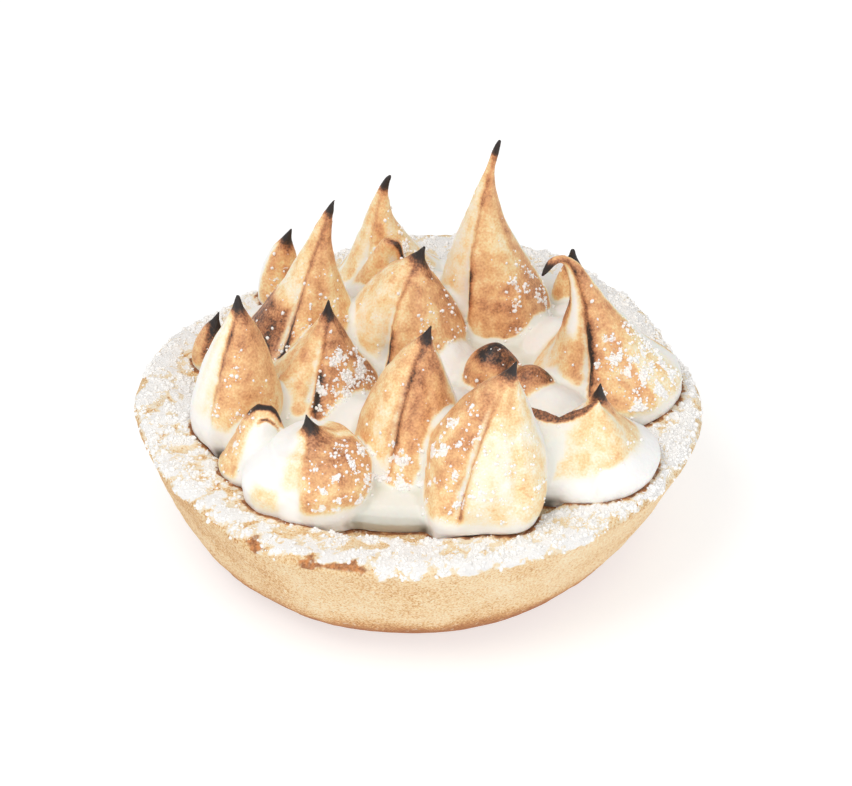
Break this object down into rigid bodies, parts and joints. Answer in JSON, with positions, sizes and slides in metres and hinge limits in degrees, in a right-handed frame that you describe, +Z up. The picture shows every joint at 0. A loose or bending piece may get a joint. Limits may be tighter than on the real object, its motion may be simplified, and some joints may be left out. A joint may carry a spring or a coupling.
{
  "type": "lemon meringue pie",
  "caption": "Individual pie: a hand-raised pastry case with a sugared rim, topped with browned meringue pulled up into tall peaks.",
  "frame": {"origin": "middle of the flat base, at the level the pie stands on", "axes": "+Z up through the pie; -Y towards the front, where the two widest spoonfuls of meringue are; +X to the right"},
  "size_m": [0.1002, 0.1005, 0.0665],
  "materials": {
    "pastry": "matte",
    "meringue": "satin",
    "icing_sugar": "matte"
  },
  "bodies": {
    "root": {"crust": "pastry", "meringue": "meringue"}
  },
  "joints": []
}
